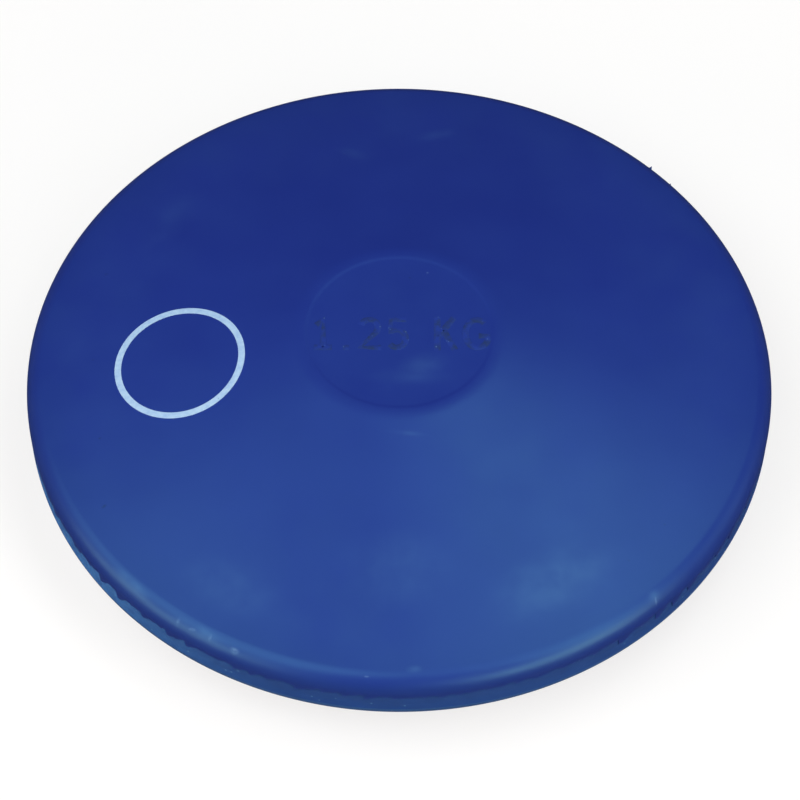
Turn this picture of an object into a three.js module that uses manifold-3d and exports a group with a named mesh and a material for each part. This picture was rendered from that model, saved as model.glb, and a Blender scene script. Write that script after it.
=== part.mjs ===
// Rubber discus for throwing practice, in the 1.25 kg class, lying flat on its lower boss.
// Two moulded rubber faces close over a middle layer: a rubber rim band with a riveted pack of
// punched steel plates inside it. Millimetres, +Z up, origin in the middle of the lower boss.

import * as THREE from 'three';
import { mergeVertices } from 'three/addons/utils/BufferGeometryUtils.js';
import Module from 'manifold-3d';

// Whole discus
const discusDiameter = 180;
const discusThickness = 39;

// Rubber faces: a round shoulder, a straight taper and a boss with a shallow ring groove in it
const shoulderRadius = 5;
const bossDiameter = 49;
const bossCrestWidth = 1.4;
const grooveWidth = 5.6;
const grooveDepth = 0.3;
const grooveSideWidth = 0.8;

// Steel core: equal punched plates, stacked inside the rim band, which is this wide outside them
const plateCount = 3;
const plateThickness = 2;
const rimRubberWidth = 36;

// Keying holes, where rubber pegs on the faces meet through the plates
const centreHoleDiameter = 14;
const keyHoleCount = 6;
const keyHoleDiameter = 12;

// Rivets that hold the plates together
const rivetCount = 3;
const rivetCircleDiameter = 36;
const rivetShankDiameter = 6;
const rivetHeadDiameter = 11;
const rivetHeadHeight = 1.8;

// Clearance between a piece and the one that it is shaped round, and the overrun of every cut
const fitGap = 0.3;
const cutOverrun = 1;

// Steps round a full circle, and along a quarter circle
const discusSteps = 72;
const holeSteps = 20;
const arcSteps = 3;

// Places that follow from the sizes above, measured from the middle plane
const discusRadius = discusDiameter / 2;
const middleHeight = discusThickness / 2;
const bandHalfHeight = (plateCount * plateThickness) / 2;
const bossRadius = bossDiameter / 2;
const plateRadius = discusRadius - rimRubberWidth;
const rivetCircleRadius = rivetCircleDiameter / 2;
const rivetHeadRadius = rivetHeadDiameter / 2;
const keyCircleRadius = (rivetCircleRadius + rivetHeadRadius + plateRadius) / 2;

// Finishes
const skinRubber = { color: '#1f3383', roughness: 0.32, metalness: 0 };
const trimmedRubber = { color: '#2b4b7d', roughness: 0.7, metalness: 0 };
const rolledSteel = { color: '#6d7277', roughness: 0.5, metalness: 1 };
const rivetSteel = { color: '#9a9da0', roughness: 0.4, metalness: 1 };

const wasm = await Module();
wasm.setup();

// Solids for joining and cutting

function toSolid(geometry) {
  const bare = geometry.clone();
  bare.deleteAttribute('normal');
  bare.deleteAttribute('uv');
  const merged = mergeVertices(bare);
  const corners = merged.index.array;
  const triVerts = [];
  for (let i = 0; i < corners.length; i += 3) {
    const [a, b, c] = corners.slice(i, i + 3);
    if (a !== b && b !== c && c !== a) triVerts.push(a, b, c);
  }
  return new wasm.Manifold(new wasm.Mesh({
    numProp: 3,
    vertProperties: new Float32Array(merged.attributes.position.array),
    triVerts: new Uint32Array(triVerts),
  }));
}

function toGeometry(solid) {
  const mesh = solid.getMesh();
  const geometry = new THREE.BufferGeometry();
  geometry.setAttribute('position', new THREE.BufferAttribute(mesh.vertProperties, 3));
  geometry.setIndex(new THREE.BufferAttribute(mesh.triVerts, 1));
  geometry.computeVertexNormals();
  return geometry;
}

// Shapes turned round the Z axis

function turned(path, steps) {
  const geometry = new THREE.LatheGeometry(path.getPoints(arcSteps), steps);
  return geometry.rotateX(Math.PI / 2);
}

function post(radius, bottom, top) {
  const geometry = new THREE.CylinderGeometry(radius, radius, top - bottom, holeSteps);
  return geometry.rotateX(Math.PI / 2).translate(0, 0, (bottom + top) / 2);
}

function onCircle(count, radius, firstAngle) {
  const places = [];
  for (let i = 0; i < count; i += 1) {
    const angle = firstAngle + (2 * Math.PI * i) / count;
    places.push([radius * Math.cos(angle), radius * Math.sin(angle)]);
  }
  return places;
}

const rivetPlaces = onCircle(rivetCount, rivetCircleRadius, 0);
const keyPlaces = onCircle(keyHoleCount, keyCircleRadius, Math.PI / keyHoleCount);

// Rubber face: its flat side lies on the middle layer, and its pegs reach to the middle plane

function faceOutline() {
  const shoulderCentre = new THREE.Vector2(discusRadius - shoulderRadius, bandHalfHeight);
  const bossEdge = new THREE.Vector2(bossRadius, middleHeight);
  const reach = shoulderCentre.clone().sub(bossEdge);
  const taperAngle = Math.atan2(-reach.y, reach.x) - Math.asin(shoulderRadius / reach.length());
  const grooveOuter = bossRadius - bossCrestWidth;
  const grooveInner = grooveOuter - grooveWidth;
  const grooveFloor = middleHeight - grooveDepth;
  const outline = new THREE.Path();
  outline.moveTo(0, bandHalfHeight);
  outline.lineTo(discusRadius, bandHalfHeight);
  outline.absarc(shoulderCentre.x, shoulderCentre.y, shoulderRadius, 0, Math.PI / 2 - taperAngle, false);
  outline.lineTo(bossEdge.x, bossEdge.y);
  outline.lineTo(grooveOuter, middleHeight);
  outline.lineTo(grooveOuter - grooveSideWidth, grooveFloor);
  outline.lineTo(grooveInner + grooveSideWidth, grooveFloor);
  outline.lineTo(grooveInner, middleHeight);
  outline.lineTo(0, middleHeight);
  return outline;
}

function rivetPocket() {
  const outline = new THREE.Path();
  outline.moveTo(0, -cutOverrun);
  outline.lineTo(rivetHeadRadius + fitGap, -cutOverrun);
  outline.absellipse(0, 0, rivetHeadRadius + fitGap, rivetHeadHeight + fitGap, 0, Math.PI / 2, false, 0);
  return turned(outline, holeSteps);
}

function rubberFace() {
  let face = toSolid(turned(faceOutline(), discusSteps));
  const peg = post(keyHoleDiameter / 2 - fitGap, 0, bandHalfHeight + cutOverrun);
  const centrePeg = post(centreHoleDiameter / 2 - fitGap, 0, bandHalfHeight + cutOverrun);
  face = face.add(toSolid(centrePeg));
  for (const [x, y] of keyPlaces) {
    face = face.add(toSolid(peg.clone().translate(x, y, 0)));
  }
  for (const [x, y] of rivetPlaces) {
    face = face.subtract(toSolid(rivetPocket().translate(x, y, bandHalfHeight)));
  }
  return toGeometry(face);
}

// Rim band: the ring of rubber between the faces, whose outside shows round the rim

function rimBand() {
  const bore = plateRadius + fitGap;
  const outline = new THREE.Path();
  outline.moveTo(bore, -bandHalfHeight);
  outline.lineTo(discusRadius, -bandHalfHeight);
  outline.lineTo(discusRadius, bandHalfHeight);
  outline.lineTo(bore, bandHalfHeight);
  outline.closePath();
  return turned(outline, discusSteps);
}

// Core plate: a punched disc with a centre hole, keying holes and rivet holes

function corePlate() {
  const outline = new THREE.Path();
  outline.moveTo(0, 0);
  outline.lineTo(plateRadius, 0);
  outline.lineTo(plateRadius, plateThickness);
  outline.lineTo(0, plateThickness);
  let plate = toSolid(turned(outline, discusSteps));
  const punch = (diameter, x, y) => {
    const hole = post(diameter / 2, -cutOverrun, plateThickness + cutOverrun);
    plate = plate.subtract(toSolid(hole.translate(x, y, 0)));
  };
  punch(centreHoleDiameter, 0, 0);
  for (const [x, y] of keyPlaces) punch(keyHoleDiameter, x, y);
  for (const [x, y] of rivetPlaces) punch(rivetShankDiameter + 2 * fitGap, x, y);
  return toGeometry(plate);
}

// Rivet: a plain shank with an oval head on each side of the plates

function coreRivet() {
  const shankRadius = rivetShankDiameter / 2;
  const outline = new THREE.Path();
  outline.moveTo(0, -bandHalfHeight - rivetHeadHeight);
  outline.absellipse(0, -bandHalfHeight, rivetHeadRadius, rivetHeadHeight, -Math.PI / 2, 0, false, 0);
  outline.lineTo(shankRadius, -bandHalfHeight);
  outline.lineTo(shankRadius, bandHalfHeight);
  outline.lineTo(rivetHeadRadius, bandHalfHeight);
  outline.absellipse(0, bandHalfHeight, rivetHeadRadius, rivetHeadHeight, 0, Math.PI / 2, false, 0);
  return turned(outline, holeSteps);
}

// Assembly, built round the middle plane and lifted so that the lower boss lies on the ground

function piece(name, geometry, finish) {
  const mesh = new THREE.Mesh(geometry, new THREE.MeshStandardMaterial(finish));
  mesh.name = name;
  return mesh;
}

const discus = new THREE.Group();
discus.position.z = middleHeight;

const faceGeometry = rubberFace();
discus.add(piece('upper_face', faceGeometry, skinRubber));
const lowerFace = piece('lower_face', faceGeometry, skinRubber);
lowerFace.rotation.x = Math.PI;
discus.add(lowerFace);
discus.add(piece('rim_band', rimBand(), trimmedRubber));

const plateGeometry = corePlate();
for (let i = 0; i < plateCount; i += 1) {
  const plate = piece(`core_plate_${i + 1}`, plateGeometry, rolledSteel);
  plate.position.z = i * plateThickness - bandHalfHeight;
  discus.add(plate);
}

const rivetGeometry = coreRivet();
rivetPlaces.forEach(([x, y], i) => {
  const rivet = piece(`core_rivet_${i + 1}`, rivetGeometry, rivetSteel);
  rivet.position.set(x, y, 0);
  discus.add(rivet);
});

export default discus;
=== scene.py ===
# %% [markdown]
# # A rubber discus, dressed for a studio picture
#
# A practice discus for schools is moulded from solid rubber round a hidden steel core. Two tapered
# faces close over a narrow band, which is duller because the moulding was trimmed there. This lesson
# starts from the finished construction, a set of plain solids at their true size, and gives each piece
# the fine shape and the surface of the real one.

# %% Load the construction and keep its box
import math

import bmesh
import bpy
from mathutils import Matrix, Vector, noise


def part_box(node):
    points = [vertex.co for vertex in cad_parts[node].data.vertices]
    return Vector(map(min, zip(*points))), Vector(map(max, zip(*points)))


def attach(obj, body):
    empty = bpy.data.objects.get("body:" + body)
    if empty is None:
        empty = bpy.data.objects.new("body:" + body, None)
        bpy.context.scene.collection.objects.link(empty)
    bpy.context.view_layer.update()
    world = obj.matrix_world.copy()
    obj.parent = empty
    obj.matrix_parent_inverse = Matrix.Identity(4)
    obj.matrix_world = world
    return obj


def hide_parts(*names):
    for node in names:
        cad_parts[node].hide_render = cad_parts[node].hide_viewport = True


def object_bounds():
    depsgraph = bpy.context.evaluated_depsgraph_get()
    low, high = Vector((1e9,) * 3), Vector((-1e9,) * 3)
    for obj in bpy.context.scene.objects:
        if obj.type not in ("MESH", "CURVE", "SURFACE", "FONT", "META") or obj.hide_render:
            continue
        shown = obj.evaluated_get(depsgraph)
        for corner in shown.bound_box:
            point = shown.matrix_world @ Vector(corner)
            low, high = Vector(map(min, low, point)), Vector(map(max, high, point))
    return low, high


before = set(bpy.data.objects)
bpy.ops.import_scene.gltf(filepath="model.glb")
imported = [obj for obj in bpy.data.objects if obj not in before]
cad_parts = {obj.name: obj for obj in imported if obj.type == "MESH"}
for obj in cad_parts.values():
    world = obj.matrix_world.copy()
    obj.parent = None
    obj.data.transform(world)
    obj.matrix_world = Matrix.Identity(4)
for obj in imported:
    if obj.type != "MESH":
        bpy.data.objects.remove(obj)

cad_low, cad_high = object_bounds()
print("construction box in metres:", tuple(cad_low), tuple(cad_high))

# %% [markdown]
# ## Sizes
#
# Everything is in metres, and `MM` turns a size in millimetres into metres. What the construction
# already fixes, such as the diameter or the size of the steel plates, is read from its boxes.
# Only what a box can't tell is written down: the boss, its shallow groove and the round shoulder.

# %% Sizes that the construction gives
MM = 0.001

disc_radius = cad_high.x
disc_height = cad_high.z
middle = disc_height / 2
band_low, band_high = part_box("rim_band")
band_half = (band_high.z - band_low.z) / 2
plate_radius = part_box("core_plate_1")[1].x
plate_nodes = [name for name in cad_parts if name.startswith("core_plate_")]
rivet_nodes = [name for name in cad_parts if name.startswith("core_rivet_")]
print("radius", round(disc_radius / MM, 2), "mm, height", round(disc_height / MM, 2), "mm")
print("plates:", plate_nodes, "rivets:", rivet_nodes)

# %% Sizes of the moulded surface
boss_radius = 24.5 * MM
crest_round = 1.7 * MM           # the boss's rim is round this far on each side of its edge
groove_outer_wall = 1.2 * MM
groove_floor = 4.5 * MM
groove_inner_wall = 4.5 * MM
groove_depth = 0.09 * MM
shoulder_radius = 5 * MM
fit_gap = 0.3 * MM               # clearance round pegs, rivets and plates
same_height = 0.03 * MM          # two heights closer than this count as one

# %% [markdown]
# ## The camera
#
# The picture is taken from above and in front, a little less than 0.7 m away. The camera's place was
# found by matching four things at the known diameter: the outline, the boss, the rim band and the
# printed ring. A long lens keeps the disc's ellipse regular, as it is in the photograph.

# %% Place the camera
camera_elevation = math.radians(54.39)
camera_distance = 693.4 * MM
camera_roll = math.radians(0.143)
aim_right = 0.2 * MM
aim_below_middle = 8.8 * MM
focal_length_px = 2820
frame_width_px = 800
sensor_width_mm = 36

camera_data = bpy.data.cameras.new("camera")
camera_data.sensor_width = sensor_width_mm
camera_data.lens = focal_length_px / frame_width_px * sensor_width_mm
camera = bpy.data.objects.new("camera", camera_data)
bpy.context.collection.objects.link(camera)
bpy.context.scene.camera = camera

aim = Vector((aim_right, 0, middle - aim_below_middle))
back = Vector((0, -math.cos(camera_elevation), math.sin(camera_elevation)))
camera.rotation_mode = "QUATERNION"
roll = Matrix.Rotation(camera_roll, 3, "Z").to_quaternion()
camera.rotation_quaternion = back.to_track_quat("Z", "Y") @ roll
camera.location = aim + back * camera_distance
print("lens", round(camera_data.lens, 1), "mm, camera at", [round(x, 3) for x in camera.location])

# %% [markdown]
# ## Colours and shader nodes
#
# A colour picked from a screen is stored on a curve, while a shader works with plain amounts of light.
# `linear` turns one into the other. `add` puts a node into a material, sets it up and links it, so
# that each material below reads from top to bottom.

# %% Two helpers for materials
def linear(hex_colour):
    """A screen colour such as #1f3383 as the linear amounts of light that a shader works with."""
    parts = [int(hex_colour[i:i + 2], 16) / 255 for i in (1, 3, 5)]
    light = [p / 12.92 if p <= 0.04045 else ((p + 0.055) / 1.055) ** 2.4 for p in parts]
    return (*light, 1.0)


def add(tree, kind, inputs=None, **settings):
    """Adds a node; an input is a value, or an output of another node to link."""
    node = tree.nodes.new(kind)
    for name, value in settings.items():
        setattr(node, name, value)
    for name, value in (inputs or {}).items():
        if isinstance(value, bpy.types.NodeSocket):
            tree.links.new(value, node.inputs[name])
        else:
            node.inputs[name].default_value = value
    return node


def new_material(name):
    """An empty node material, with the output node that its shader goes to."""
    material = bpy.data.materials.new(name)
    material.use_nodes = True
    material.node_tree.nodes.clear()
    output = add(material.node_tree, "ShaderNodeOutputMaterial")
    return material, material.node_tree, output


print("linear blue:", [round(x, 4) for x in linear("#1f3383")])

# %% [markdown]
# ## Studio
#
# The ground is one pale sweep: flat in the middle and curving up far away, so that a low view still
# meets a pale background. Its profile is a line with one rounded corner, spun into a shallow bowl.

# %% Pale ground
ground_radius = 3.2              # metres, far outside the picture
ground_wall = 0.9
ground_round = 0.8
ground_steps = 96
ground_drop = 0.05 * MM          # keeps the paper clear of the lower boss

bm = bmesh.new()
ground_profile = [(0, 0, 0), (ground_radius, 0, 0), (ground_radius, 0, ground_wall)]
corners = [bm.verts.new(place) for place in ground_profile]
for pair in zip(corners, corners[1:]):
    bm.edges.new(pair)
bmesh.ops.bevel(bm, geom=[corners[1]], offset=ground_round, offset_type="OFFSET", affect="VERTICES",
                segments=16, profile=0.5, material=-1)
bmesh.ops.spin(bm, geom=bm.verts[:] + bm.edges[:], cent=(0, 0, 0), axis=(0, 0, 1), angle=math.tau,
               steps=ground_steps, use_merge=True, use_duplicate=False)
bmesh.ops.remove_doubles(bm, verts=bm.verts, dist=ground_drop)
bmesh.ops.translate(bm, verts=bm.verts, vec=(0, 0, -ground_drop))
bmesh.ops.recalc_face_normals(bm, faces=bm.faces)
bmesh.ops.reverse_faces(bm, faces=bm.faces)
ground_mesh = bpy.data.meshes.new("ground")
bm.to_mesh(ground_mesh)
bm.free()
ground_mesh.shade_smooth()
ground = bpy.data.objects.new("ground", ground_mesh)
bpy.context.collection.objects.link(ground)

# %% [markdown]
# The ground is matt paper. A picture for a shop has a ground that is white all over, so the camera sees
# the paper partly as a plain white card, and partly as lit paper, which keeps the shadow of the discus.
# The rubber doesn't mirror the paper: the real discus stood over something dark, which its lower
# shoulder shows as a dark line all round.

# %% White paper
card_share = 0.7


def white_paper():
    """Matt paper, which the camera sees partly as a plain white card."""
    material, tree, output = new_material("matt_white_paper")
    paper = add(tree, "ShaderNodeBsdfPrincipled",
                {"Base Color": linear("#f5f3f1"), "Roughness": 0.9, "Specular IOR Level": 0.1})
    card = add(tree, "ShaderNodeEmission", {"Color": linear("#ffffff"), "Strength": 1.0})
    ray = add(tree, "ShaderNodeLightPath")
    share = add(tree, "ShaderNodeMath", {
        0: ray.outputs["Is Camera Ray"], 1: card_share}, operation="MULTIPLY")
    mixed = add(tree, "ShaderNodeMixShader", {
        0: share.outputs["Value"], 1: paper.outputs["BSDF"], 2: card.outputs["Emission"]})
    tree.links.new(mixed.outputs["Shader"], output.inputs["Surface"])
    return material


ground_mesh.materials.append(white_paper())
ground.visible_glossy = False
print("ground:", len(ground_mesh.polygons), "faces")

# %% [markdown]
# Six soft lamps light the discus. A large one stands at the left, a little in front, and a small one
# hangs over the right side, rather behind. The near half of the glossy rubber mirrors these two and
# looks hazy, and the far half mirrors the dark part of the room and looks deep blue. A tall lamp at the
# right and a weak one at the right end lift that side. The last two are low and slightly warm, and draw
# the pale line along the shoulder.

# %% Softboxes and room
lamp_distance = 1.2
daylight = "#f8fcff"
warm_light = "#ffebd2"


def softbox(name, azimuth, elevation, width, height, brightness, colour):
    """A soft lamp aimed at the discus; brightness 1 shows as white, and angles are in degrees."""
    raised = Matrix.Rotation(-math.radians(elevation), 3, "Y")
    direction = Matrix.Rotation(math.radians(azimuth), 3, "Z") @ raised @ Vector((1, 0, 0))
    data = bpy.data.lights.new(name, "AREA")
    data.shape = "RECTANGLE"
    data.size = width
    data.size_y = height
    data.color = linear(colour)[:3]
    data.energy = brightness * math.pi * width * height
    lamp = bpy.data.objects.new(name, data)
    lamp.location = direction * lamp_distance
    lamp.rotation_mode = "QUATERNION"
    lamp.rotation_quaternion = direction.to_track_quat("Z", "Y")
    bpy.context.collection.objects.link(lamp)
    print(name, "at", [round(x, 2) for x in lamp.location])


softbox("softbox_left", 208, 57, 1.30, 0.92, 2.85, daylight)
softbox("softbox_low_left", 213, 15, 1.12, 0.56, 4.2, warm_light)
softbox("softbox_over_right", 24, 70, 0.62, 0.56, 2.95, daylight)
softbox("softbox_tall_right", -37, 46, 0.48, 0.90, 4.0, daylight)
softbox("softbox_low_right", -50, 13, 0.94, 0.50, 6.2, warm_light)
softbox("softbox_side_right", 1, 19, 0.44, 0.62, 0.85, daylight)

room_strength = 0.12
room = bpy.data.worlds.new("dim_room")
room.use_nodes = True
room.node_tree.nodes["Background"].inputs["Color"].default_value = linear("#b4bcc4")
room.node_tree.nodes["Background"].inputs["Strength"].default_value = room_strength
bpy.context.scene.world = room
bpy.context.scene.view_settings.view_transform = "Standard"

# %% [markdown]
# ## Turning outlines into solids
#
# Almost every surface of a discus is turned: it is one outline carried round the axis. `turned` spins
# the outline through one sector and then copies that sector round, which is much quicker than a full
# spin when there are many steps. A corner of the outline is rounded before the spin, by a bevel on
# its vertex, so that the rounding is spun with the rest.

# %% Turned solids
weld_distance = 0.002 * MM
sharp_angle = math.radians(35)   # an edge that turns more than this is shown sharp


def turned(points, rounds, steps, sectors=24):
    """A closed solid from an outline of (radius, height) points.

    An outline that starts on the axis ends there, and any other one is closed. rounds gives the
    points to round: the point's number, how far the rounding reaches, and the number of segments.
    """
    bm = bmesh.new()
    verts = [bm.verts.new((radius, 0, height)) for radius, height in points]
    for pair in zip(verts, verts[1:]):
        bm.edges.new(pair)
    if points[0][0] > 0:
        bm.edges.new((verts[-1], verts[0]))
    for number, reach, segments in rounds:
        bmesh.ops.bevel(bm, geom=[verts[number]], offset=reach, offset_type="OFFSET", affect="VERTICES",
                        segments=segments, profile=0.5, material=-1)
    bmesh.ops.spin(bm, geom=bm.verts[:] + bm.edges[:], cent=(0, 0, 0), axis=(0, 0, 1),
                   angle=math.tau / sectors, steps=steps // sectors, use_merge=False, use_duplicate=False)
    sector = bm.verts[:] + bm.edges[:] + bm.faces[:]
    for number in range(1, sectors):
        copy = bmesh.ops.duplicate(bm, geom=sector)["geom"]
        turn = Matrix.Rotation(math.tau * number / sectors, 3, "Z")
        moved = [part for part in copy if isinstance(part, bmesh.types.BMVert)]
        bmesh.ops.rotate(bm, verts=moved, cent=(0, 0, 0), matrix=turn)
    bmesh.ops.remove_doubles(bm, verts=bm.verts, dist=weld_distance)
    bmesh.ops.recalc_face_normals(bm, faces=bm.faces)
    return bm


def make_piece(name, bm, material):
    """Turns a bmesh into a piece of the discus that rides with it and has its finish."""
    mesh = bpy.data.meshes.new(name)
    bm.to_mesh(mesh)
    bm.free()
    mesh.shade_smooth()
    mesh.set_sharp_from_angle(angle=sharp_angle)
    mesh.materials.append(material)
    piece = bpy.data.objects.new(name, mesh)
    bpy.context.collection.objects.link(piece)
    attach(piece, "root")
    print(name, "has", len(mesh.vertices), "vertices and", len(mesh.polygons), "faces")
    return piece


# %% [markdown]
# Some pieces are joined or cut with a whole solid, such as a peg or a drill. A boolean does that and
# keeps the mesh closed. The tool is a helper object, which is removed when the piece is done.

# %% Joining and cutting with tools
def tool_object(name, bm):
    """A helper solid for a boolean."""
    mesh = bpy.data.meshes.new(name)
    bmesh.ops.recalc_face_normals(bm, faces=bm.faces)
    bm.to_mesh(mesh)
    bm.free()
    tool = bpy.data.objects.new(name, mesh)
    bpy.context.collection.objects.link(tool)
    return tool


def apply_modifiers(piece):
    """Makes what the modifiers show the piece's own mesh."""
    shown = piece.evaluated_get(bpy.context.evaluated_depsgraph_get())
    done = bpy.data.meshes.new_from_object(shown)
    piece.modifiers.clear()
    old = piece.data
    name = old.name
    piece.data = done
    bpy.data.meshes.remove(old)
    done.name = name


def boolean(piece, tool, operation):
    """Joins a piece with a tool or cuts it, and removes the tool."""
    step = piece.modifiers.new(operation.lower(), "BOOLEAN")
    step.operation = operation
    step.solver = "MANIFOLD"
    step.object = tool
    apply_modifiers(piece)
    bpy.data.objects.remove(tool)


def posts(name, places, bottom, top, segments=64):
    """Separate cylinders as one tool; each place is x, y and a radius."""
    bm = bmesh.new()
    for x, y, radius in places:
        bmesh.ops.create_cone(bm, cap_ends=True, segments=segments, radius1=radius, radius2=radius,
                              depth=top - bottom, matrix=Matrix.Translation((x, y, (bottom + top) / 2)))
    return tool_object(name, bm)


# %% [markdown]
# ## Rubber for the faces
#
# The faces are moulded rubber: a blue compound pressed in a polished mould. Rubber has an index of
# refraction of about 1.5, and a gloss that is soft, because the mould's polish isn't perfect and a thin
# bloom lies on the surface. The bloom tints what the rubber mirrors, and makes the outer taper a little
# paler. Hands have rubbed it off round the shoulder, and there the shoulder is painted darker: painted
# shade where it turns down. The rubber has been used: it has rubbed places, scuffs along the shoulder
# and a few dark specks. The large pale patches on the near half and along the left shoulder are painted
# highlight. A painted image could hold the marks, but it would blur close by, so each mark is an
# ellipse at its own place, faded and broken up by noise.

# %% Marks of use and painted highlight on the upper face
smudge_and_highlight_grain = 6 * MM            # size of the noise that breaks up a smudge
scuff_grain = 0.8 * MM

# x and y of the middle, length, width (mm), the length's direction (degrees) and how strong it is
# The smudges are partly real rubbed places; the large faint ones on the near half and the long ones along
# the left shoulder are painted highlight, where the taper and shoulder mirror the lamps.
smudges_and_painted_highlights = [
    (9.5, 68.8, 15, 6, 20, 0.045),
    (-12.3, 61.6, 11, 5, 150, 0.04),
    (5.5, -10.2, 16, 10, 20, 0.07),
    (2.0, -13.3, 24, 6, 0, 0.06),
    (1.6, -29, 12, 1.8, -6, 0.10),
    (-61.0, -63.0, 16, 3, -44, 0.16),
    (-44, -76, 22, 3, -31, 0.12),
    (3.4, -85.9, 5, 2.4, 2, 0.14),
    (58.0, -66.0, 5, 3.2, 41, 0.16),
    (36, -64, 42, 20, 28, 0.12),
    (-38, -66, 34, 16, -30, 0.07),
    (0, -62, 34, 24, 0, 0.06),
    (-58, 40, 30, 14, 60, 0.03),
]
scuffs = [
    (6.8, 17.6, 0.9, 0.7, 0, 0.30),
    (-49.9, -72.9, 1.3, 2.2, -28, 0.15),
    (-46.6, -75.0, 2.6, 0.8, -20, 0.22),
    (-42.5, -77.2, 1.2, 1.9, -25, 0.15),
    (-36.9, -80.4, 3.0, 1.6, -25, 0.24),
    (-7.1, -87.4, 1.4, 0.5, -5, 0.50),
    (58.6, -66.7, 0.7, 2.2, 10, 0.20),
    (-48.6, 8.7, 3.0, 0.5, 8, 0.25),
]
dark_specks = [
    (-68.4, -43.2, 1.8, 1.2, 40, 0.8),
    (-79.6, -41.8, 1.0, 0.8, 0, 0.7),
    (-70.4, -24.8, 1.1, 0.9, 0, 0.7),
    (-73.5, -2.0, 1.2, 0.9, 0, 0.35),
    (-72.0, 24.5, 1.6, 1.2, 0, 0.35),
    (2.5, 16.1, 1.0, 0.8, 0, 0.4),
    (61.3, -48.2, 1.0, 0.8, 0, 0.4),
    (52.6, -58.0, 0.9, 0.8, 0, 0.3),
]


def add_marks(tree, place, marks, grain):
    """The marks as one mask, from 0 to the strength of each; grain is the size that breaks them up."""
    edges = add(tree, "ShaderNodeTexNoise", {"Vector": place, "Scale": 1 / grain, "Detail": 2.0})
    broken = add(tree, "ShaderNodeMapRange", {
        "Value": edges.outputs["Fac"], "From Min": 0.35, "From Max": 0.65, "To Min": 0.4, "To Max": 1.2})
    height = add(tree, "ShaderNodeSeparateXYZ", {"Vector": place})
    above = add(tree, "ShaderNodeMath", {0: height.outputs["Z"], 1: middle}, operation="GREATER_THAN")
    mask = 0.0
    for x, y, length, width, direction, strength in marks:
        inside = add(tree, "ShaderNodeMapping", {
            "Vector": place,
            "Location": (x * MM, y * MM, 0),
            "Rotation": (0, 0, math.radians(direction)),
            "Scale": (length / 2 * MM, width / 2 * MM, 1),
        }, vector_type="TEXTURE")
        distance = add(tree, "ShaderNodeVectorMath", {0: inside.outputs["Vector"]}, operation="LENGTH")
        faded = add(tree, "ShaderNodeMapRange", {
            "Value": distance.outputs["Value"],
            "From Min": 1.0,
            "From Max": 0.0,
            "To Max": strength,
        }, interpolation_type="SMOOTHSTEP")
        joined = add(tree, "ShaderNodeMath", {0: mask, 1: faded.outputs["Result"]}, operation="MAXIMUM")
        mask = joined.outputs["Value"]
    worn = add(tree, "ShaderNodeMath", {0: mask, 1: broken.outputs["Result"]}, operation="MULTIPLY")
    shown = add(tree, "ShaderNodeMath", {
        0: worn.outputs["Value"], 1: above.outputs["Value"]}, operation="MULTIPLY")
    return shown.outputs["Value"]


# %% Moulded rubber, deep blue
cloud_size = 24 * MM             # slow changes of colour in the compound
patch_size = 11 * MM             # uneven bloom and polish
moulded_grain = 0.6 * MM         # the real grain is finer, and wouldn't show
bloom_starts = 52 * MM           # distance from the axis
bloom_full = 84 * MM
bloom_strength = 0.05
# Where the shoulder loses its bloom and is painted darker as shade, measured from the middle plane
rubbed_and_shaded_most = 3.7 * MM          # distance from the middle plane
rubbed_and_shaded_least = 9.8 * MM
wheel_reach = 5.0 * MM           # how far below the middle plane the buffing wheel caught the skin
wheel_fade = 0.8 * MM
wheel_wave = 2.5 * MM            # size of the waves in that line


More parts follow.
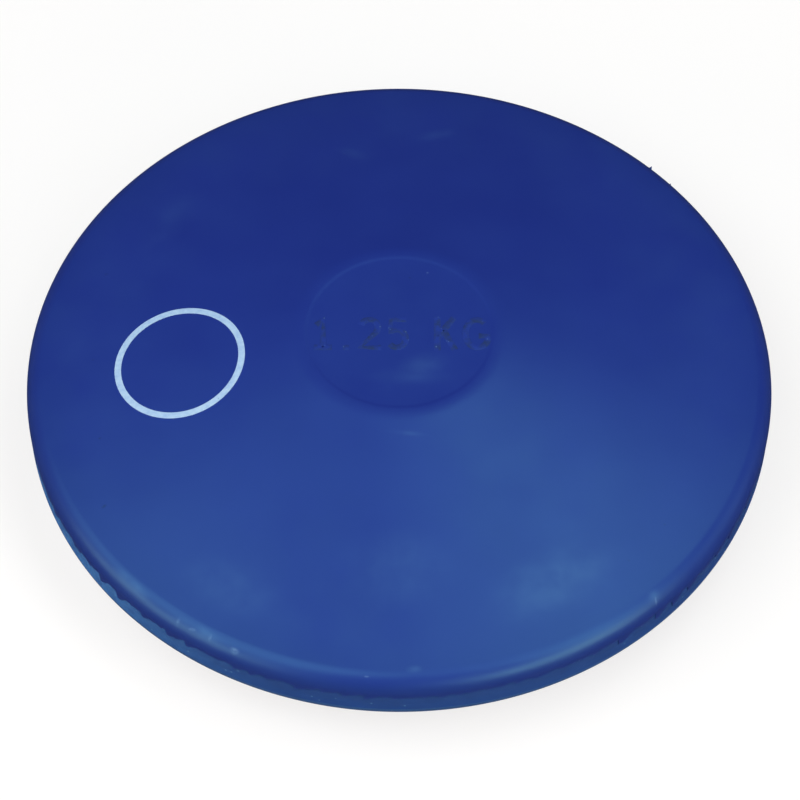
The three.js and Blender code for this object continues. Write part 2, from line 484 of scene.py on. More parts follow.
def moulded_rubber():
    """Blue rubber from a polished mould: a soft gloss under a thin bloom, with its marks of use, painted
    shade along the shoulder and painted highlight on the near half.
    """
    material, tree, output = new_material("moulded_blue_rubber")
    place = add(tree, "ShaderNodeTexCoord").outputs["Object"]
    clouds = add(tree, "ShaderNodeTexNoise", {
        "Vector": place, "Scale": 1 / cloud_size, "Detail": 3.0}).outputs["Fac"]
    mottled = add(tree, "ShaderNodeMix", {
        0: clouds, 6: linear("#182678"), 7: linear("#1e2e82")}, data_type="RGBA")

    # Bloom: none near the boss, most on the outer taper, and rubbed off by hands round the rim, where the
    # shoulder is also painted darker as painted shade
    flat = add(tree, "ShaderNodeVectorMath", {0: place, 1: (1, 1, 0)}, operation="MULTIPLY")
    radius = add(tree, "ShaderNodeVectorMath", {0: flat.outputs["Vector"]}, operation="LENGTH")
    to_rim = add(tree, "ShaderNodeMapRange", {
        "Value": radius.outputs["Value"],
        "From Min": bloom_starts,
        "From Max": bloom_full,
        "To Max": bloom_strength,
    })
    height = add(tree, "ShaderNodeSeparateXYZ", {"Vector": place}).outputs["Z"]
    from_middle = add(tree, "ShaderNodeMath", {
        0: height, 1: middle}, operation="SUBTRACT").outputs["Value"]
    off_middle = add(tree, "ShaderNodeMath", {0: from_middle}, operation="ABSOLUTE").outputs["Value"]
    clear_of_rub_and_shade = add(tree, "ShaderNodeMapRange", {
        "Value": off_middle, "From Min": rubbed_and_shaded_most, "From Max": rubbed_and_shaded_least},
        interpolation_type="SMOOTHSTEP")
    patches = add(tree, "ShaderNodeTexNoise", {"Vector": place, "Scale": 1 / patch_size, "Detail": 4.0})
    uneven = add(tree, "ShaderNodeMapRange", {
        "Value": patches.outputs["Fac"], "From Min": 0.3, "From Max": 0.7, "To Min": 0.4, "To Max": 1.6})
    left_on = add(tree, "ShaderNodeMath", {
        0: to_rim.outputs["Result"], 1: clear_of_rub_and_shade.outputs["Result"]}, operation="MULTIPLY")
    bloom = add(tree, "ShaderNodeMath", {
        0: left_on.outputs["Value"], 1: uneven.outputs["Result"]}, operation="MULTIPLY")
    bloomed = add(tree, "ShaderNodeMix", {
        0: bloom.outputs["Value"], 6: mottled.outputs[2], 7: linear("#345586")}, data_type="RGBA")
    # Painted shade: near the middle plane the shoulder turns down, and its colour is mixed towards a darker
    # blue there
    painted_shoulder_shade = add(tree, "ShaderNodeMix", {
        0: clear_of_rub_and_shade.outputs["Result"], 6: linear("#12246c"), 7: bloomed.outputs[2]}, data_type="RGBA")

    # Pale smudges: real rubbed places, and painted highlight on the near half and along the left shoulder
    pale_mask_with_painted_light = add_marks(tree, place, smudges_and_painted_highlights, smudge_and_highlight_grain)
    smudged_and_highlighted = add(tree, "ShaderNodeMix", {
        0: pale_mask_with_painted_light, 6: painted_shoulder_shade.outputs[2], 7: linear("#5a8cb4")}, data_type="RGBA")
    scraped = add_marks(tree, place, scuffs, scuff_grain)
    scuffed = add(tree, "ShaderNodeMix", {
        0: scraped, 6: smudged_and_highlighted.outputs[2], 7: linear("#7ea4cc")}, data_type="RGBA")
    dirty = add_marks(tree, place, dark_specks, scuff_grain)
    specked = add(tree, "ShaderNodeMix", {
        0: dirty, 6: scuffed.outputs[2], 7: linear("#131c50")}, data_type="RGBA")

    # The buffing wheel also caught the edge of the lower face, just under the band, along a wavy line
    drift = add(tree, "ShaderNodeTexNoise", {"Vector": place, "Scale": 1 / wheel_wave, "Detail": 3.0})
    drifted = add(tree, "ShaderNodeMapRange", {
        "Value": drift.outputs["Fac"], "To Min": -wheel_fade, "To Max": wheel_fade})
    edge = add(tree, "ShaderNodeMath", {0: from_middle, 1: drifted.outputs["Result"]}, operation="ADD")
    below_band = add(tree, "ShaderNodeMapRange", {
        "Value": edge.outputs["Value"], "From Min": -wheel_reach, "From Max": -wheel_reach + wheel_fade},
        interpolation_type="SMOOTHSTEP")
    under = add(tree, "ShaderNodeMath", {0: from_middle, 1: 0.0}, operation="LESS_THAN")
    caught = add(tree, "ShaderNodeMath", {
        0: below_band.outputs["Result"], 1: under.outputs["Value"]}, operation="MULTIPLY").outputs["Value"]
    surface = add(tree, "ShaderNodeMix", {
        0: caught, 6: specked.outputs[2], 7: linear("#1a3871")}, data_type="RGBA")

    # Gloss, a fine grain and a soft swell, which breaks up what the rubber mirrors
    polish = add(tree, "ShaderNodeMapRange", {
        "Value": patches.outputs["Fac"], "From Min": 0.3, "From Max": 0.7, "To Min": 0.35, "To Max": 0.42})
    gloss = add(tree, "ShaderNodeMapRange", {
        "Value": caught, "To Min": polish.outputs["Result"], "To Max": 0.7})
    grain = add(tree, "ShaderNodeTexNoise", {"Vector": place, "Scale": 1 / moulded_grain, "Detail": 2.0})
    fine = add(tree, "ShaderNodeBump", {
        "Height": grain.outputs["Fac"], "Strength": 0.10, "Distance": 0.02 * MM})
    swell = add(tree, "ShaderNodeBump", {
        "Height": clouds, "Strength": 0.35, "Distance": 0.12 * MM, "Normal": fine.outputs["Normal"]})
    shader = add(tree, "ShaderNodeBsdfPrincipled", {
        "Base Color": surface.outputs[2],
        "Roughness": gloss.outputs["Result"],
        "IOR": 1.5,
        "Specular Tint": (0.30, 0.90, 1.0, 1.0),
        "Normal": swell.outputs["Normal"],
    })
    tree.links.new(shader.outputs["BSDF"], output.inputs["Surface"])
    return material


skin_rubber = moulded_rubber()
print("nodes in the rubber:", len(skin_rubber.node_tree.nodes))

# %% [markdown]
# ## The two faces
#
# The outline runs from the axis along the flat inner side, up the shoulder, along the taper to the
# boss, and across the boss with its shallow groove back to the axis. On the upper face it first goes
# down round a thin lip of skin, which laps over the band. The boss's rim is softly rounded, and the
# boss lies a hair lower inside it, so that the printed weight isn't the highest thing on the discus.
# The groove is only brought into view by the light, so its walls are soft: a curve that eases in and
# out gives their heights. A bevel could round the rim too, but a formula keeps its top level.

# %% Outline of a face
lip_thickness = 0.2 * MM
print_bed = 0.05 * MM            # how much lower the boss lies inside its rim
boss_steps = 6                   # points along each soft wall of the boss
shoulder_segments = 14

reach_x = disc_radius - shoulder_radius - boss_radius
reach_z = middle - band_half
taper_angle = math.atan2(reach_z, reach_x) - math.asin(shoulder_radius / math.hypot(reach_x, reach_z))
corner_height = middle - (disc_radius - boss_radius) * math.tan(taper_angle)
shoulder_reach = shoulder_radius * math.tan((math.pi / 2 - taper_angle) / 2)
print("taper", round(math.degrees(taper_angle), 2), "degrees, shoulder starts",
      round((corner_height - shoulder_reach) / MM, 3), "mm above the middle plane")


def eased(start, end):
    """Points from one (radius, height) to another, level at both ends."""
    shares = [step / boss_steps for step in range(1, boss_steps + 1)]
    return [(start[0] + (end[0] - start[0]) * share,
             start[1] + (end[1] - start[1]) * share * share * (3 - 2 * share)) for share in shares]


def boss_outline():
    """The boss from the end of the taper to the axis; its crest is the highest place of the face."""
    crest = (boss_radius - crest_round, middle)
    floor_outer = (crest[0] - groove_outer_wall, middle - groove_depth)
    floor_inner = (floor_outer[0] - groove_floor, middle - groove_depth)
    bed = (floor_inner[0] - groove_inner_wall, middle - print_bed)
    taper_slope = math.tan(taper_angle)
    edge = []
    for step in range(boss_steps):
        out = 2 * crest_round * (1 - step / boss_steps)
        edge.append((crest[0] + out, middle - taper_slope * out ** 2 / (4 * crest_round)))
    outer_wall = eased(crest, floor_outer)
    inner_wall = eased(floor_inner, bed)
    return edge + [crest] + outer_wall + [floor_inner] + inner_wall + [(0, bed[1])]


def face_outline(lip_drop):
    """A face's outline and the corner to round: its number, reach and segments; 0 leaves out the lip."""
    points = [(0, band_half)]
    if lip_drop:
        points.append((disc_radius - lip_thickness, band_half))
        points.append((disc_radius - lip_thickness, band_half - lip_drop))
    points.append((disc_radius, band_half - lip_drop))
    points.append((disc_radius, corner_height))
    return points + boss_outline(), [(len(points) - 1, shoulder_reach, shoulder_segments)]


# %% [markdown]
# When the moulding was trimmed, the upper skin tore along the band. The edge has teeth a few millimetres
# long: each drops suddenly, rises again over two thirds of its length, and then runs level to the next.
# A formula moves the lowest vertices of the lip down by that much. Noise makes the teeth uneven in
# length and depth, and adds small nicks. Two whiskers of flash stand out there, and one chip is missing
# from the shoulder. A displacement map could tear the edge as well, but not with such a clean line.
# The lower skin has no lip: the wheel that trimmed the band blended it in.

# %% Spin a face and tear its edge
face_steps = 1440
lip_drop = 0.6 * MM              # the lip's lower edge between two teeth, below the top of the band
tooth_length = 5.5 * MM
tooth_depth = 3.2 * MM
smallest_tooth = 0.16            # as a share of tooth_depth
tooth_wander = 0.7               # how unequal in length the teeth are
tooth_rise = 1.5                 # slope of the rise, in depths for each length
tooth_seed = 7.31                # a stride through the noise, so that no two teeth are alike
nick_length = 1.1 * MM
nick_depth = 0.8 * MM
whiskers = [(45.2, 1.6 * MM), (40.8, 1.3 * MM)]
whisker_width = 0.35             # degrees, as the places of the whiskers
chip_place = Vector((-87.9, -23.0, 4.5)) * MM
chip_radius = 1.5 * MM
chip_depth = 0.35 * MM
chip_grain = 0.5 * MM
chip_roughness = 0.5


def torn_edge(vert):
    """How far the torn edge of the skin lies below the level between the teeth, at a vertex on the rim."""
    along = math.atan2(vert.co.y, vert.co.x) * disc_radius / tooth_length
    stretched = along + tooth_wander * noise.noise(Vector((along / 2, 0, 0)))
    number = math.floor(stretched)
    chance = 0.5 + noise.noise(Vector((number * tooth_seed, 0.5, 0.5)))
    depth = tooth_depth * (smallest_tooth + chance ** 2)
    left = max(0.0, 1 - tooth_rise * (stretched - number))
    return depth * left + nick_depth * noise.noise(vert.co / nick_length)


def tear(bm):
    """Moves the lowest vertices of the lip to a torn line, which stays below the top of the band."""
    lip_bottom = band_half - lip_drop
    highest = band_half - lip_thickness / 4
    for vert in bm.verts:
        on_lip = math.hypot(vert.co.x, vert.co.y) > disc_radius / 2
        if on_lip and abs(vert.co.z - lip_bottom) < same_height:
            vert.co.z = min(lip_bottom - torn_edge(vert), highest)


def grow_whiskers(bm):
    """Pulls the outer edge of the lip outwards and up into thin whiskers of flash."""
    for vert in bm.verts:
        radius = math.hypot(vert.co.x, vert.co.y)
        if radius < disc_radius - lip_thickness / 2 or vert.co.z > band_half - lip_thickness / 8:
            continue
        angle = math.degrees(math.atan2(vert.co.y, vert.co.x))
        for azimuth, length in whiskers:
            grown = length * math.exp(-((angle - azimuth) / whisker_width) ** 2)
            vert.co.x += grown * math.cos(math.radians(angle))
            vert.co.y += grown * math.sin(math.radians(angle))
            vert.co.z += grown / 2


def chip_shoulder(bm):
    """Presses a small hollow into the shoulder, where a chip is missing."""
    for vert in bm.verts:
        away = (vert.co - chip_place).length / chip_radius
        if away < 1:
            uneven = 1 + chip_roughness * noise.noise(vert.co / chip_grain)
            inwards = Vector((-vert.co.x, -vert.co.y, 0)).normalized()
            vert.co += inwards * chip_depth * (1 - away ** 2) * uneven


# %% [markdown]
# Rubber fills the holes of the steel plates when it is moulded round them. So pegs on the inner side of
# each face meet through the holes, and pockets take the rivet heads. They could be drawn into the
# outline only if they ran all the way round, so cylinders and flattened spheres are made as tools.

# %% Pegs and rivet pockets
centre_hole_radius = 7 * MM
key_hole_radius = 6 * MM
key_count = 6
rivet_low, rivet_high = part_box(rivet_nodes[0])
rivet_centres = [(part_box(name)[0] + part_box(name)[1]) / 2 for name in rivet_nodes]
rivet_circle = math.hypot(rivet_centres[0].x, rivet_centres[0].y)
rivet_head_radius = (rivet_high.y - rivet_low.y) / 2
rivet_head_height = (rivet_high.z - rivet_low.z) / 2 - band_half
key_circle = (rivet_circle + rivet_head_radius + plate_radius) / 2
key_places = []
for number in range(key_count):
    angle = math.pi / key_count + math.tau * number / key_count
    key_places.append((key_circle * math.cos(angle), key_circle * math.sin(angle)))
print("rivet circle", round(rivet_circle / MM, 2), "mm, key circle", round(key_circle / MM, 2), "mm")


def pegs():
    """The pegs as one tool, from the middle plane up into the face."""
    places = [(0, 0, centre_hole_radius - fit_gap)]
    places += [(x, y, key_hole_radius - fit_gap) for x, y in key_places]
    return posts("pegs", places, 0, band_half + shoulder_radius)


def pockets():
    """The rooms for the rivet heads as one tool."""
    wide = rivet_head_radius + fit_gap
    deep = rivet_head_height + fit_gap
    bm = bmesh.new()
    for centre in rivet_centres:
        shape = Matrix.Translation((centre.x, centre.y, band_half)) @ Matrix.Diagonal((wide, wide, deep, 1))
        bmesh.ops.create_uvsphere(bm, u_segments=48, v_segments=24, radius=1, matrix=shape)
    return tool_object("pockets", bm)


# %% Upper and lower face
bm = turned(*face_outline(lip_drop), face_steps)
tear(bm)
grow_whiskers(bm)
chip_shoulder(bm)
upper_face = make_piece("discus_face_upper", bm, skin_rubber)
bm = turned(*face_outline(0), face_steps)
lower_face = make_piece("discus_face_lower", bm, skin_rubber)
for face, node, turn in ((upper_face, "upper_face", 0), (lower_face, "lower_face", math.pi)):
    boolean(face, pegs(), "UNION")
    boolean(face, pockets(), "DIFFERENCE")
    face.data.transform(Matrix.Translation((0, 0, middle)) @ Matrix.Rotation(turn, 4, "X"))
    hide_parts(node)
    print(face.name, "has", len(face.data.polygons), "faces")

# %% [markdown]
# ## The rim band
#
# Round the rim the skin was buffed away with the flash, and the rubber under it shows: duller, and
# more teal than the skin. Buffing leaves fine streaks that run round the rim, soft hollows and a few
# small pits. The hollows and pits are moved vertices, which hold in the light from any side. Only the
# streaks, which are finer than the mesh, are left to the material. The front left of the band, where the
# lamps at the left fall, is painted paler than the rest: painted light. The upper skin laps over the band,
# so the band lies a lip's thickness deeper there, and comes out flush at the bottom.

# %% Buffed rubber
buffed_cloud = 5 * MM
rubbed_patch = 2.2 * MM
crumb_spacing = 2.4 * MM
streak_length = 4 * MM
streak_width = 0.25 * MM         # real ones are finer, and wouldn't show
# Centre of the painted light on the band's front left, where the lamps at the left fall
painted_light_place = Vector((-84, -42, 19.5)) * MM
painted_light_full = 12 * MM              # distances from the palest place
painted_light_none = 78 * MM


def buffed_rubber():
    """Rubber cut by a wheel: dull, with streaks, a side painted paler as painted light, and crumbs that
    cling to it.
    """
    material, tree, output = new_material("buffed_teal_rubber")
    place = add(tree, "ShaderNodeTexCoord").outputs["Object"]
    clouds = add(tree, "ShaderNodeTexNoise", {"Vector": place, "Scale": 1 / buffed_cloud, "Detail": 4.0})
    mottled = add(tree, "ShaderNodeMix", {
        0: clouds.outputs["Fac"], 6: linear("#102766"), 7: linear("#163276")}, data_type="RGBA")

    # Painted light: the front left of the band, facing the lamps at the left, is mixed towards a paler teal
    from_painted_light = add(tree, "ShaderNodeVectorMath", {0: place, 1: painted_light_place}, operation="DISTANCE")
    painted_light_share = add(tree, "ShaderNodeMapRange", {
        "Value": from_painted_light.outputs["Value"],
        "From Min": painted_light_none,
        "From Max": painted_light_full,
        "To Max": 0.8,
    }, interpolation_type="SMOOTHSTEP")
    patches = add(tree, "ShaderNodeTexNoise", {"Vector": place, "Scale": 1 / rubbed_patch, "Detail": 3.0})
    uneven = add(tree, "ShaderNodeMapRange", {
        "Value": patches.outputs["Fac"], "From Min": 0.35, "From Max": 0.65, "To Min": 0.65, "To Max": 1.2})
    pale_mask_with_painted_light = add(tree, "ShaderNodeMath", {
        0: painted_light_share.outputs["Result"], 1: uneven.outputs["Result"]}, operation="MULTIPLY")
    painted_lit_side = add(tree, "ShaderNodeMix", {
        0: pale_mask_with_painted_light.outputs["Value"], 6: mottled.outputs[2], 7: linear("#2a5896")}, data_type="RGBA")

    pale_speck_cells = add(tree, "ShaderNodeTexVoronoi", {"Vector": place, "Scale": 1 / crumb_spacing})
    pale_speck_mask = add(tree, "ShaderNodeMapRange", {
        "Value": pale_speck_cells.outputs["Distance"], "From Min": 0.13, "From Max": 0.06, "To Max": 0.35})
    specked = add(tree, "ShaderNodeMix", {
        0: pale_speck_mask.outputs["Result"], 6: painted_lit_side.outputs[2], 7: linear("#5d8fae")}, data_type="RGBA")

    along = add(tree, "ShaderNodeMapping", {
        "Vector": place, "Scale": (1 / streak_length, 1 / streak_length, 1 / streak_width)})
    streaks = add(tree, "ShaderNodeTexNoise", {
        "Vector": along.outputs["Vector"], "Scale": 1.0, "Detail": 2.0})
    bump = add(tree, "ShaderNodeBump", {
        "Height": streaks.outputs["Fac"], "Strength": 0.5, "Distance": 0.05 * MM})
    shader = add(tree, "ShaderNodeBsdfPrincipled", {
        "Base Color": specked.outputs[2],
        "Roughness": 0.7,
        "IOR": 1.5,
        "Specular IOR Level": 0.35,
        "Specular Tint": (0.3, 1.0, 1.0, 1.0),
        "Normal": bump.outputs["Normal"],
    })
    tree.links.new(shader.outputs["BSDF"], output.inputs["Surface"])
    return material


cut_rubber = buffed_rubber()
print("nodes in the buffed rubber:", len(cut_rubber.node_tree.nodes))

# %% Rim band
lip_gap = 0.02 * MM              # between the band and the lip that laps over it
band_inset = lip_thickness + lip_gap
bore_radius = plate_radius + fit_gap
band_rows = 14
hollow_length = 4 * MM
hollow_depth = 0.10 * MM
pit_length = 1.1 * MM
pit_depth = 0.35 * MM
pit_rarity = 0.45                # only the peaks of the noise above this become pits

band_outline = [(bore_radius, -band_half)]
for row in range(band_rows + 1):
    share = row / band_rows
    inset = band_inset * min(1, 3 * share)
    band_outline.append((disc_radius - inset, band_half * (2 * share - 1)))
band_outline.append((bore_radius, band_half))

bm = turned(band_outline, [], face_steps)
for vert in bm.verts:
    if math.hypot(vert.co.x, vert.co.y) < disc_radius - 2 * band_inset:
        continue
    if abs(vert.co.z) > band_half - same_height:
        continue
    hollow = hollow_depth * (0.5 + noise.noise(vert.co / hollow_length))
    pit = pit_depth * max(0.0, noise.noise(vert.co / pit_length) - pit_rarity)
    inwards = Vector((-vert.co.x, -vert.co.y, 0)).normalized()
    vert.co += inwards * (max(0.0, hollow) + pit)
rim_band = make_piece("discus_rim_band", bm, cut_rubber)
rim_band.data.transform(Matrix.Translation((0, 0, middle)))
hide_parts("rim_band")

# %% [markdown]
# ## The steel core
#
# Rubber alone would be too light, so a pack of punched steel plates lies between the faces. It never
# shows on a whole discus, but anyone who takes the model apart sees it, so it is finished like the
# rest. The plates are hot-rolled sheet, with the grey scale that rolling leaves, in streaks along the
# sheet, and the rivets are brighter, because a cold tool formed them. Both are one material with other
# colours and streaks. Punching rounds each edge a little, and a bevel does that on every edge at once.

# %% Hot-rolled and cold-headed steel
scale_cloud = 9 * MM
streak_stretch = 20              # how many times longer than wide a streak is


def steel(name, dark, light, streak, roughness):
    """Steel with cloudy scale, or oil, and fine streaks along the sheet; streak is their width."""
    material, tree, output = new_material(name)
    place = add(tree, "ShaderNodeTexCoord").outputs["Object"]
    scale = add(tree, "ShaderNodeTexNoise", {
        "Vector": place, "Scale": 1 / scale_cloud, "Detail": 5.0, "Roughness": 0.6})
    along = add(tree, "ShaderNodeMapping", {
        "Vector": place, "Scale": (1 / (streak_stretch * streak), 1 / streak, 1 / streak)})
    streaks = add(tree, "ShaderNodeTexNoise", {
        "Vector": along.outputs["Vector"], "Scale": 1.0, "Detail": 3.0})
    both = add(tree, "ShaderNodeMath", {
        0: scale.outputs["Fac"], 1: streaks.outputs["Fac"]}, operation="MULTIPLY")
    tone = add(tree, "ShaderNodeMapRange", {
        "Value": both.outputs["Value"], "From Min": 0.12, "From Max": 0.40})
    colour = add(tree, "ShaderNodeMix", {
        0: tone.outputs["Result"], 6: linear(dark), 7: linear(light)}, data_type="RGBA")
    gloss = add(tree, "ShaderNodeMapRange", {
        "Value": tone.outputs["Result"], "To Min": roughness + 0.12, "To Max": roughness - 0.06})
    bump = add(tree, "ShaderNodeBump", {
        "Height": both.outputs["Value"], "Strength": 0.4, "Distance": 0.04 * MM})
    shader = add(tree, "ShaderNodeBsdfPrincipled", {
        "Base Color": colour.outputs[2],
        "Metallic": 1.0,
        "Roughness": gloss.outputs["Result"],
        "Normal": bump.outputs["Normal"],
    })
    tree.links.new(shader.outputs["BSDF"], output.inputs["Surface"])
    return material


plate_steel = steel("hot_rolled_steel_sheet", "#595e63", "#7c8287", 0.5 * MM, 0.48)
rivet_steel = steel("cold_headed_rivet_steel", "#8b8f93", "#abaeb1", 0.3 * MM, 0.34)

# %% Plates
plate_steps = 288
punch_round = 0.25 * MM
punched_corner = math.radians(50)
rivet_shank_radius = 3 * MM
holes = [(0, 0, centre_hole_radius)]
holes += [(x, y, key_hole_radius) for x, y in key_places]
holes += [(centre.x, centre.y, rivet_shank_radius + fit_gap) for centre in rivet_centres]

for name in plate_nodes:
    low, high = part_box(name)
    plate_outline = [(0, low.z), (plate_radius, low.z), (plate_radius, high.z), (0, high.z)]
    bm = turned(plate_outline, [], plate_steps)
    plate = make_piece("steel_" + name.removeprefix("core_"), bm, plate_steel)
    boolean(plate, posts("punches", holes, low.z - fit_gap, high.z + fit_gap), "DIFFERENCE")
    edges = plate.modifiers.new("punched_edges", "BEVEL")
    edges.width = punch_round
    edges.segments = 2
    edges.limit_method = "ANGLE"
    edges.angle_limit = punched_corner
    apply_modifiers(plate)
    plate.data.shade_smooth()
    plate.data.set_sharp_from_angle(angle=sharp_angle)
    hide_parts(name)
    print(plate.name, "has", len(plate.data.polygons), "faces")

# %% [markdown]
# A rivet is one turned shape: an oval head, a plain shank and the second head, which is closed over the
# plates. A quarter of an ellipse gives the head, and the outline mirrors it.

# %% Rivets
rivet_steps = 72
head_segments = 10
quarter = [math.pi / 2 * step / head_segments for step in range(head_segments + 1)]
head = [(rivet_head_radius * math.sin(a), band_half + rivet_head_height * math.cos(a)) for a in quarter]
upper_half = head + [(rivet_shank_radius, band_half)]
rivet_outline = upper_half + [(radius, -height) for radius, height in reversed(upper_half)]

for name, centre in zip(rivet_nodes, rivet_centres):
    bm = turned(rivet_outline, [], rivet_steps)
    bmesh.ops.translate(bm, verts=bm.verts, vec=(centre.x, centre.y, middle))
    rivet = make_piece("steel_" + name.removeprefix("core_"), bm, rivet_steel)
    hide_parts(name)

# %% [markdown]
# ## Prints
#
# Two prints lie on the upper face: a plain white ring on the taper, screen-printed and still crisp,
# and the weight on the boss, in dark ink that use has almost worn away. Ink is a thin film, so each
# print is a thin closed solid that is half sunk in the rubber. A print could also be painted into the
# rubber's material, but a film of its own stays sharp at any distance.

# %% Print inks
screen_patch = 1.4 * MM
pinhole_spacing = 2.6 * MM
worn_patch = 2.2 * MM
ink_glint_spacing = 1.3 * MM


def screen_ink():
    """White screen ink: a thin, matt film that lets a little of the blue through."""
    material, tree, output = new_material("white_screen_ink")
    place = add(tree, "ShaderNodeTexCoord").outputs["Object"]
    thin = add(tree, "ShaderNodeTexNoise", {
        "Vector": place, "Scale": 1 / screen_patch, "Detail": 4.0, "Roughness": 0.6})
    cover = add(tree, "ShaderNodeMapRange", {
        "Value": thin.outputs["Fac"], "From Min": 0.3, "From Max": 0.65})
    film = add(tree, "ShaderNodeMix", {
        0: cover.outputs["Result"], 6: linear("#8faed4"), 7: linear("#a2c0dc")}, data_type="RGBA")
    pins = add(tree, "ShaderNodeTexVoronoi", {"Vector": place, "Scale": 1 / pinhole_spacing})
    pinholes = add(tree, "ShaderNodeMapRange", {
        "Value": pins.outputs["Distance"], "From Min": 0.10, "From Max": 0.06, "To Max": 0.6})
    colour = add(tree, "ShaderNodeMix", {
        0: pinholes.outputs["Result"], 6: film.outputs[2], 7: linear("#2f4f8c")}, data_type="RGBA")
    shader = add(tree, "ShaderNodeBsdfPrincipled", {
        "Base Color": colour.outputs[2], "Roughness": 0.55, "Specular IOR Level": 0.3})
    tree.links.new(shader.outputs["BSDF"], output.inputs["Surface"])
    return material


def worn_ink():
    """Dark ink that is mostly worn off: rubber shows through it, and pale specks on it are painted glints.
    """
    material, tree, output = new_material("worn_dark_ink")
    place = add(tree, "ShaderNodeTexCoord").outputs["Object"]
    left = add(tree, "ShaderNodeTexNoise", {
        "Vector": place, "Scale": 1 / worn_patch, "Detail": 4.0, "Roughness": 0.6})
    cover = add(tree, "ShaderNodeMapRange", {
        "Value": left.outputs["Fac"], "From Min": 0.40, "From Max": 0.66})
    inked = add(tree, "ShaderNodeMix", {
        0: cover.outputs["Result"], 6: linear("#1c2c82"), 7: linear("#1f2a5a")}, data_type="RGBA")
    # Painted glints: pale specks stand in for light caught by the edges of the letters
    pale_speck_cells = add(tree, "ShaderNodeTexVoronoi", {"Vector": place, "Scale": 1 / ink_glint_spacing})
    pale_speck_mask = add(tree, "ShaderNodeMapRange", {
        "Value": pale_speck_cells.outputs["Distance"], "From Min": 0.17, "From Max": 0.10, "To Max": 0.55})
    colour = add(tree, "ShaderNodeMix", {
        0: pale_speck_mask.outputs["Result"], 6: inked.outputs[2], 7: linear("#587aa6")}, data_type="RGBA")
    shader = add(tree, "ShaderNodeBsdfPrincipled", {
        "Base Color": colour.outputs[2],
        "Roughness": 0.45,
        "IOR": 1.5,
        "Specular Tint": (0.34, 0.90, 1.0, 1.0),
    })
    tree.links.new(shader.outputs["BSDF"], output.inputs["Surface"])
    return material


# %% White ring on the taper
ring_centre = Vector((-52.33, -5.37)) * MM
ring_radius = 15.97 * MM
ring_line = 1.6 * MM
ring_film = 0.04 * MM            # how far the ink stands over the rubber, and reaches into it
ring_segments = 192

bm = bmesh.new()
bmesh.ops.create_circle(bm, segments=ring_segments, radius=ring_radius)
bmesh.ops.create_circle(bm, segments=ring_segments, radius=ring_radius - ring_line)
bmesh.ops.bridge_loops(bm, edges=bm.edges[:])
across = [edge for edge in bm.edges if len(edge.link_faces) == 2]
bmesh.ops.subdivide_edges(bm, edges=across, cuts=2)
bmesh.ops.recalc_face_normals(bm, faces=bm.faces)
bmesh.ops.solidify(bm, geom=bm.faces[:], thickness=2 * ring_film)
bmesh.ops.recalc_face_normals(bm, faces=bm.faces)
uphill = Matrix.Rotation(math.atan2(ring_centre.y, ring_centre.x), 4, "Z")
bmesh.ops.scale(bm, verts=bm.verts, vec=(math.cos(taper_angle), 1, 1), space=uphill.inverted())
bmesh.ops.translate(bm, verts=bm.verts, vec=(ring_centre.x, ring_centre.y, 0))
lowest = min(vert.co.z for vert in bm.verts)
for vert in bm.verts:
    beyond_boss = math.hypot(vert.co.x, vert.co.y) - boss_radius
    on_taper = disc_height - beyond_boss * math.tan(taper_angle)
    vert.co.z += on_taper - lowest - ring_film
make_piece("printed_ring", bm, screen_ink())

# %% [markdown]
# The weight is drawn with strokes of one width, as a pen would draw it. A text object could write it,
# but in a typeface of its own, while a stamp on rubber is plainer. Each figure or letter has a box,
# measured on the boss, and its strokes run through places given as shares of that box. A curve with a
# round section turns a stroke into a solid, which is then flattened to the thickness of ink.

# %% Strokes of the weight mark
ink_width = 1.6 * MM
ink_film = 0.03 * MM
stroke_weld = 0.01 * MM
cap_height = 8.3 * MM
baseline = -4.95 * MM


def arc_share(centre_x, centre_y, radius_x, radius_y, start, end, count=12):
    """Places along an arc, from one angle to another in degrees, all as shares of a figure's box."""
    angles = [math.radians(start + (end - start) * step / count) for step in range(count + 1)]
    return [(centre_x + radius_x * math.cos(a), centre_y + radius_y * math.sin(a)) for a in angles]


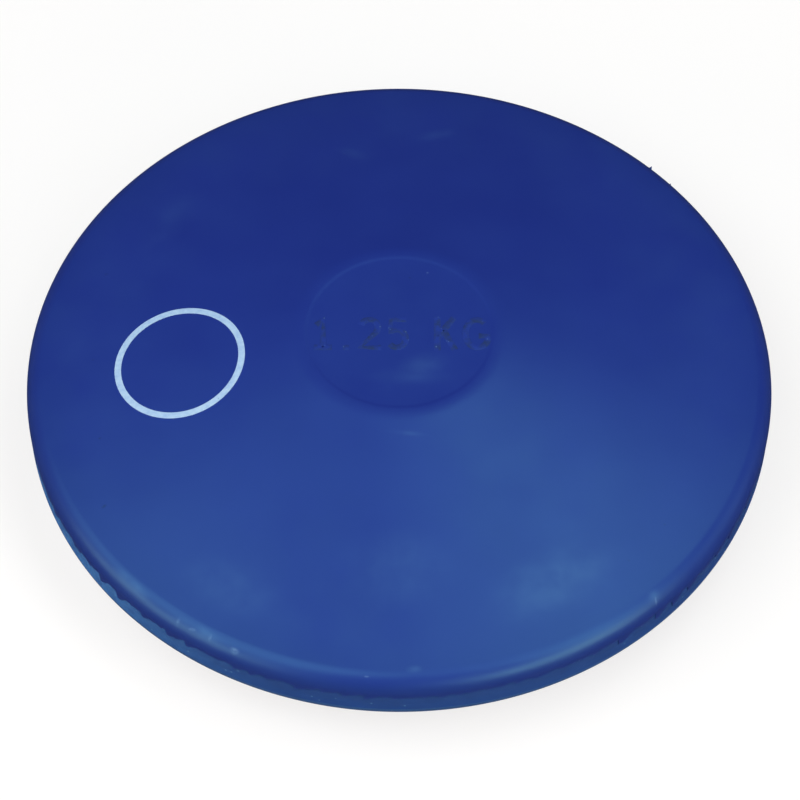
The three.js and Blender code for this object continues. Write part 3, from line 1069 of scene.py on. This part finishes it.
# Left edge and width of each figure's box (mm), and its strokes as shares of the box
figures = [
    (-19.8, 3.8, [[(0.0, 0.80), (0.45, 1.0), (0.45, 0.0)], [(-0.1, 0.0), (1.0, 0.0)]]),
    (-13.3, 1.4, [[(0.0, 0.0), (1.0, 0.0)]]),
    (-9.3, 4.5, [arc_share(0.48, 0.72, 0.46, 0.28, 165, -35) + [(0.0, 0.0), (1.1, 0.0)]]),
    (-2.5, 4.2, [[(1.0, 1.0), (0.12, 1.0), (0.08, 0.56)] + arc_share(0.45, 0.32, 0.50, 0.32, 125, -140)]),
    (8.8, 4.2, [[(0.05, 1.1), (0.05, -0.1)], [(1.0, 1.08), (0.10, 0.40)], [(0.40, 0.62), (1.05, -0.08)]]),
    (15.6, 5.6, [arc_share(0.52, 0.50, 0.50, 0.50, 50, 330, 20) + [(0.97, 0.42), (0.58, 0.42)]]),
]


def stroke_object(points):
    """One stroke as a flat solid: a curve with a round section, made a mesh and flattened."""
    curve = bpy.data.curves.new("stroke", "CURVE")
    curve.dimensions = "3D"
    curve.bevel_depth = ink_width / 2
    curve.bevel_resolution = 3
    curve.use_fill_caps = True
    spline = curve.splines.new("POLY")
    spline.points.add(len(points) - 1)
    for point, (x, y) in zip(spline.points, points):
        point.co = (x, y, 0, 1)
    drawn = bpy.data.objects.new("stroke", curve)
    bpy.context.collection.objects.link(drawn)
    swept = drawn.evaluated_get(bpy.context.evaluated_depsgraph_get())
    bm = bmesh.new()
    bm.from_mesh(bpy.data.meshes.new_from_object(swept))
    bpy.data.objects.remove(drawn)
    bmesh.ops.remove_doubles(bm, verts=bm.verts, dist=stroke_weld)
    bmesh.ops.scale(bm, verts=bm.verts, vec=(1, 1, 2 * ink_film / ink_width))
    bmesh.ops.translate(bm, verts=bm.verts, vec=(0, 0, disc_height - print_bed))
    return tool_object("stroke", bm)


# %% Weight mark on the boss
dark_ink = worn_ink()
bm = bmesh.new()
for left, width, strokes in figures:
    for shares in strokes:
        points = [((left + width * x) * MM, baseline + cap_height * y) for x, y in shares]
        stroke = stroke_object(points)
        bm.from_mesh(stroke.data)
        bpy.data.objects.remove(stroke)
make_piece("weight_mark", bm, dark_ink)
